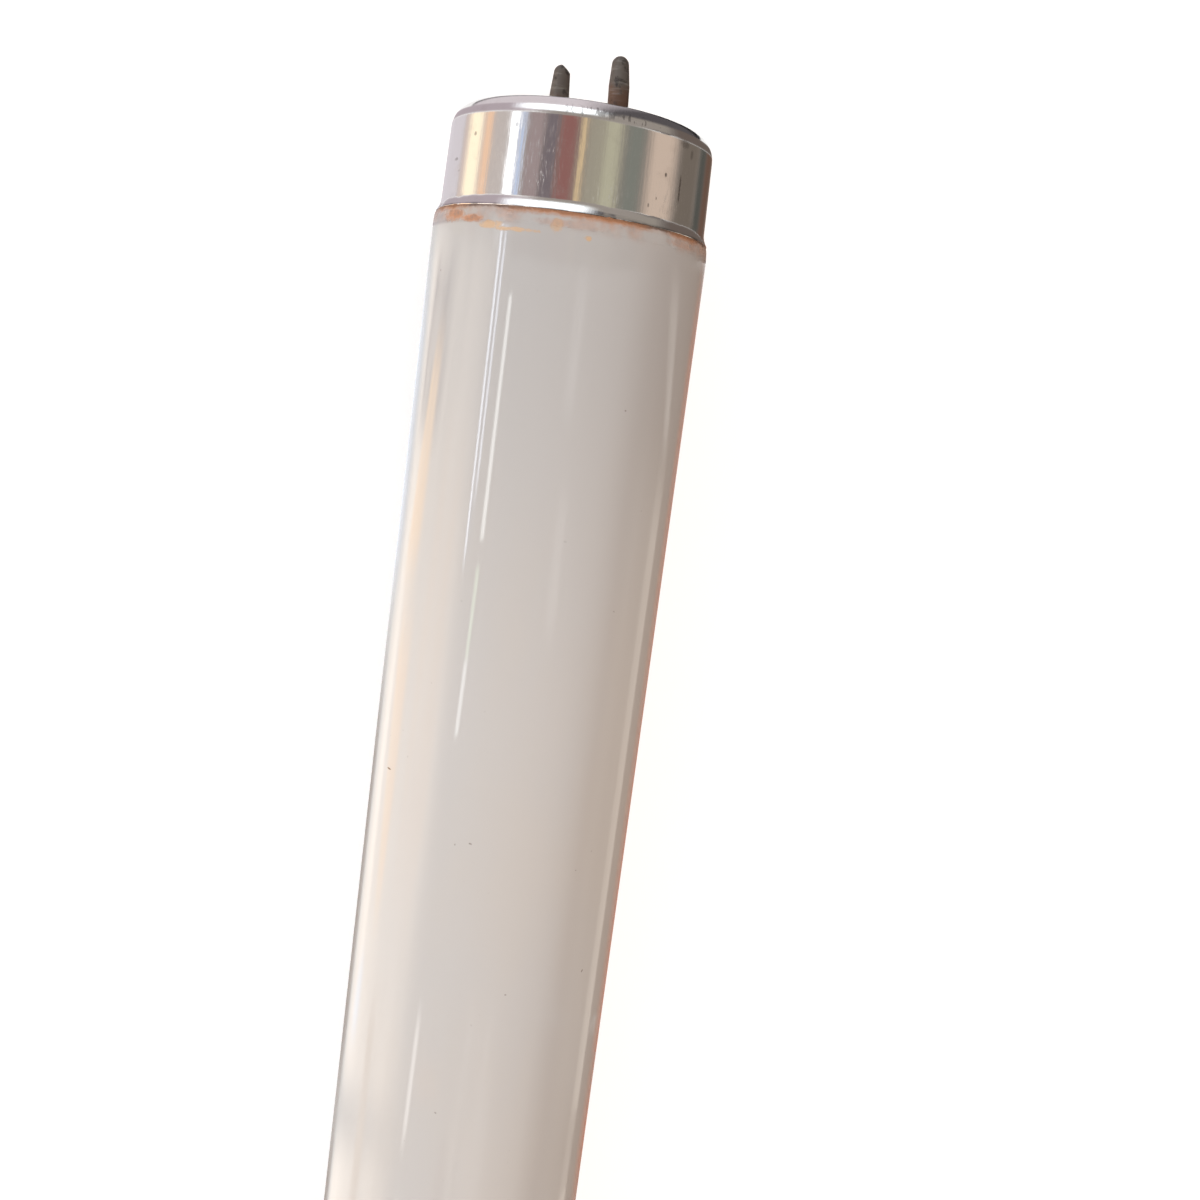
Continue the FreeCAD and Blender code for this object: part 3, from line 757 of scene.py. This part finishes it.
cap = {
    "steps": 240,
    "wall": 0.35 * mm,
    "step": 0.65 * mm,       # the skirt lies this far inside the glass
    "taper": 0.3 * mm,
    "corner": 2.5 * mm,
    "waistRounding": 0.6 * mm,
    "lipHeight": 1.3 * mm,
    "flareHeight": 0.85 * mm,
    "lipFlare": 0.5 * mm,
    "lipRounding": 0.12 * mm,
    "opening": 10.6 * mm,
    "dents": 30,
    "dentDepth": 0.15 * mm,
    "dentShare": (0.3, 1.0),           # of that depth
    "dentHalfWidth": (0.012, 0.045),   # in radians round the tube
    "unevenness": 0.05 * mm,
    "unevenWaves": 4,
    "rimPull": 0.6,                    # how far the edge draws back where it is pushed
    "seeds": {"a": 11, "b": 23},
}


def makeCap(end, material):
    direction = endDirections[end]
    rim, face = capRim[end], capFace[end]
    skirt = glassRadius - cap["step"]
    top = skirt - cap["taper"]
    lip = skirt + cap["lipFlare"]
    wall = cap["wall"]
    waist = rim + direction * cap["flareHeight"]
    back = face - direction * wall
    under = face - direction * (cap["corner"] + evenGap)
    over = waist + direction * (cap["waistRounding"] + evenGap)
    slope = (skirt - top) / abs(face - waist)
    outline = [(face, cap["opening"]), (face, top), (under, top + slope * abs(face - under)),
               (over, skirt - slope * abs(over - waist)), (waist, skirt), (rim, lip),
               (rim, lip - wall), (waist, skirt - wall), (back, top - wall), (back, cap["opening"])]
    shape, corners = startShape(outline, True)
    roundCorners(shape, corners, {1: cap["corner"], 8: cap["corner"] - wall}, 12)
    roundCorners(shape, corners, {4: cap["waistRounding"], 7: cap["waistRounding"]}, 8)
    roundCorners(shape, corners, {0: cap["lipRounding"], 5: cap["lipRounding"], 6: cap["lipRounding"]}, 3)
    spinShape(shape, cap["steps"])
    dentLip(shape, end)
    finishPiece(shape, f"capShell_{end}", material, f"end_cap_{end}")


def dentLip(shape, end):
    # the thin edge is dented here and there, and never quite level
    draw = random.Random(cap["seeds"][end])
    dents = [(draw.uniform(-math.pi, math.pi), draw.uniform(*cap["dentHalfWidth"]),
              draw.uniform(*cap["dentShare"])) for _ in range(cap["dents"])]
    for vert in shape.verts:
        hold = 1 - abs(vert.co.x - capRim[end]) / cap["lipHeight"]
        if hold <= 0:
            continue
        turn = math.atan2(vert.co.z, vert.co.y)
        waves = cap["unevenWaves"]
        push = noise.noise(Vector((math.cos(turn) * waves, math.sin(turn) * waves, cap["seeds"][end])))
        push *= cap["unevenness"]
        for centre, width, depth in dents:
            apart = abs((turn - centre + math.pi) % math.tau - math.pi)
            push -= cap["dentDepth"] * depth * max(0, 1 - apart / width)
        radius = math.hypot(vert.co.y, vert.co.z)
        scale = (radius + push * hold) / radius
        back = endDirections[end] * abs(push) * hold * cap["rimPull"]
        vert.co = Vector((vert.co.x + back, vert.co.y * scale, vert.co.z * scale))


bead = {
    "steps": 240,
    "feather": 1.7 * mm,          # its thin edge runs out over the glass
    "featherDepth": 0.012 * mm,   # and ends this far under the glass's surface
    "crest": 0.5175 * mm,         # the crest stands this far inside the rim
    "swell": 0.06 * mm,
    "rounding": 0.3 * mm,
    "mouth": (0.05 * mm, 0.12 * mm),      # where it meets the lip: outside the rim, under the lip
    "toe": (0.805 * mm, 0.6 * mm),        # its lowest place on the glass: inside the rim, depth
    "depth": 4.6 * mm,
    "topTaper": 0.1 * mm,
    "gap": 0.02 * mm,
    "lump": 0.06 * mm,
    "lumpSize": 1.3 * mm,
    "lumpDepth": 0.4 * mm,        # only what lies higher than this under the glass's surface is lumpy
    "lumpSlide": 1.6,
}


def makeCement(end, material):
    direction = endDirections[end]
    rim = capRim[end]
    skirt = glassRadius - cap["step"]
    lip = skirt + cap["lipFlare"]
    neck = tube["neckRadius"]
    inner = skirt - cap["wall"] - bead["gap"]
    top = rim + direction * bead["depth"]
    mouthOut, mouthUnder = bead["mouth"]
    toeInside, toeDepth = bead["toe"]
    outline = [
        (rim - direction * bead["feather"], glassRadius - bead["featherDepth"]),
        (rim - direction * bead["crest"], lip + bead["swell"]),
        (rim + direction * mouthOut, lip - mouthUnder),
        (rim + direction * cap["lipHeight"], inner),
        (top, inner - bead["topTaper"]),
        (top, neck),
        (rim + direction * tube["neckFoot"], neck),
        (rim - direction * toeInside, glassRadius - toeDepth),
    ]
    shape, corners = startShape(outline, True)
    roundCorners(shape, corners, {1: bead["rounding"]}, 4)
    spinShape(shape, bead["steps"])
    for vert in shape.verts:
        radius = math.hypot(vert.co.y, vert.co.z)
        if direction * (rim - vert.co.x) > bead["gap"] and radius > glassRadius - bead["lumpDepth"]:
            lump = noise.fractal(vert.co / bead["lumpSize"], 0.6, 2.0, 3) * bead["lump"]
            scale = (radius + lump) / radius
            slide = direction * lump * bead["lumpSlide"]
            vert.co = Vector((vert.co.x + slide, vert.co.y * scale, vert.co.z * scale))
    finishPiece(shape, f"cementBead_{end}", material, f"cement_ring_{end}")


plate = {
    "steps": 128,
    "boss": 10.5 * mm,
    "bossRounding": 0.2 * mm,
    "flange": 12.5 * mm,
    "flangeThickness": 1.2 * mm,
    "grooveWidth": 1.4 * mm,
    "grooveDepth": 0.4 * mm,
    "flat": 0.01 * mm,       # a patch this near the face belongs to it
}


def makePlate(end, material):
    direction = endDirections[end]
    low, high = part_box(f"insulator_plate_{end}")
    face, back = (low.x, high.x) if end == "a" else (high.x, low.x)
    ledge = back + direction * plate["flangeThickness"]
    outline = [(back, 0), (back, plate["flange"]), (ledge, plate["flange"]), (ledge, plate["boss"]),
               (face, plate["boss"]), (face, 0)]
    shape, corners = startShape(outline, False)
    roundCorners(shape, corners, {4: plate["bossRounding"]}, 3)
    spinShape(shape, plate["steps"])
    # the face is cut along both edges of the groove, and what lies between is pressed in
    half = plate["grooveWidth"] / 2
    for side in (-1, 1):
        bmesh.ops.bisect_plane(shape, geom=everything(shape), plane_co=(0, 0, side * half),
                               plane_no=(0, 0, 1))
    shape.normal_update()
    onFace = [patch for patch in shape.faces
              if abs(patch.normal.x) > 0.9 and abs(patch.calc_center_median().x - face) < plate["flat"]]
    between = [patch for patch in onFace if abs(patch.calc_center_median().z) < half]
    pressed = bmesh.ops.extrude_face_region(shape, geom=between)["geom"]
    bmesh.ops.delete(shape, geom=between, context="FACES")
    moved = [corner for corner in pressed if isinstance(corner, bmesh.types.BMVert)]
    bmesh.ops.translate(shape, verts=moved, vec=(-direction * plate["grooveDepth"], 0, 0))
    finishPiece(shape, f"insulatorDisc_{end}", material, f"insulator_plate_{end}")


pin = {
    "steps": 48,
    "spacing": 12.7 * mm,
    "radius": 1.175 * mm,
    "rootRadius": 1.35 * mm,
    "rootProud": 0.12 * mm,       # the riveted root stands this much over the plate
    "rootRounding": 0.1 * mm,
    "collarRadius": 1.975 * mm,
    "collarThickness": 0.5 * mm,
    "reach": 7.6 * mm,
    "taperLength": 3.4 * mm,
    "noseRadius": 0.9 * mm,
    "noseRounding": 0.8955 * mm,  # a little less than that, because the tip needs a face to close on
    "rings": 10,                  # along the shank, for the bend
    "damage": {"a1": "cut", "a2": "bent"},
    "bentReach": 7.05 * mm,
    "lean": math.radians(6.5),
    "bendRadius": 6.0 * mm,
    "cutSlope": math.radians(40),
    "cutHeading": math.radians(57),
    "cutOffset": 0.15 * mm,
    "pitting": 0.02 * mm,
    "pittingFrom": 0.24 * mm,     # over the end face, so that the riveted root stays smooth
}


def makePin(end, number, material):
    direction = endDirections[end]
    side = -1 if number == 1 else 1
    damage = pin["damage"].get(f"{end}{number}")
    name = f"contact_pin_{end}{number}"
    low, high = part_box(name)
    face, tail = capFace[end], high.x if end == "a" else low.x
    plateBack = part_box(f"insulator_plate_{end}")[1 if end == "a" else 0].x
    collarBack = plateBack - direction * pin["collarThickness"]
    root = face + direction * pin["rootProud"]
    reach = pin["bentReach"] if damage == "bent" else pin["reach"]
    outline = [(tail, 0), (tail, pin["radius"]), (collarBack, pin["radius"]),
               (collarBack, pin["collarRadius"]), (plateBack, pin["collarRadius"]),
               (plateBack, pin["rootRadius"]), (root, pin["rootRadius"]), (root, pin["radius"])]
    shank = reach - pin["taperLength"] - pin["rootProud"]
    for ring in range(1, pin["rings"] + 1):
        outline.append((root + direction * shank * ring / pin["rings"], pin["radius"]))
    outline += [(face + direction * reach, pin["noseRadius"]), (face + direction * reach, 0)]
    shape, corners = startShape(outline, False)
    roundCorners(shape, corners, {6: pin["rootRounding"]}, 2)
    roundCorners(shape, corners, {len(outline) - 2: pin["noseRounding"]}, 10)
    spinShape(shape, pin["steps"])
    if damage == "cut":
        cutTip(shape, face + direction * (reach - pin["cutOffset"]), direction)
    if damage == "bent":
        bendShank(shape, face, direction, side)
    bmesh.ops.translate(shape, verts=shape.verts[:], vec=(0, 0, side * pin["spacing"] / 2))
    for vert in shape.verts:
        if direction * (vert.co.x - face) > pin["pittingFrom"]:
            here = vert.co / mm
            elsewhere = here + Vector((7, 7, 7))      # anywhere else in the noise
            vert.co += Vector((0, noise.noise(here), noise.noise(elsewhere))) * pin["pitting"]
    finishPiece(shape, f"pin_{end}{number}", material, name)


def cutTip(shape, height, direction):
    heading = Vector((0, math.sin(pin["cutHeading"]), math.cos(pin["cutHeading"])))
    normal = alongTube * direction * math.cos(pin["cutSlope"]) + heading * math.sin(pin["cutSlope"])
    sliced = bmesh.ops.bisect_plane(shape, geom=everything(shape), plane_co=(height, 0, 0),
                                    plane_no=normal, clear_outer=True)["geom_cut"]
    rim = [edge for edge in sliced if isinstance(edge, bmesh.types.BMEdge)]
    bmesh.ops.holes_fill(shape, edges=rim, sides=0)


def bendShank(shape, face, direction, side):
    # towards the other pin, round a centre beside the foot
    for vert in shape.verts:
        beyond = direction * (vert.co.x - face)
        if beyond > 0:
            turn = min(beyond / pin["bendRadius"], pin["lean"])
            rest = beyond - turn * pin["bendRadius"]
            swing = pin["bendRadius"] + side * vert.co.z
            vert.co.x = face + direction * (swing * math.sin(turn) + rest * math.cos(turn))
            vert.co.z = side * (swing * math.cos(turn) - pin["bendRadius"] - rest * math.sin(turn))


makeCamera()
bpy.context.scene.view_settings.view_transform = "Standard"
makeWorld()
for lamp in studio["lamps"]:
    makeLamp(lamp)
makeFloor()
makeEndWalls()
makeCards()
print("camera, lamps, floor and cards placed")

glassMaterial, capMaterial = glassPaint(), capPaint()
cementMaterial, phenolicMaterial = cementPaint(), phenolicPaint()
pinMaterial, wireMaterial = pinPaint(), wirePaint()
print("materials mixed")

makeGlass(glassMaterial)
for end in endDirections:
    makeCap(end, capMaterial)
    makeCement(end, cementMaterial)
    makePlate(end, phenolicMaterial)
print("glass, caps, cement and plates made")

for end in endDirections:
    for number in (1, 2):
        makePin(end, number, pinMaterial)
for name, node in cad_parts.items():
    if name.startswith("lead_wire"):
        for slot in node.material_slots:
            slot.material = wireMaterial
print("pins and wires made")
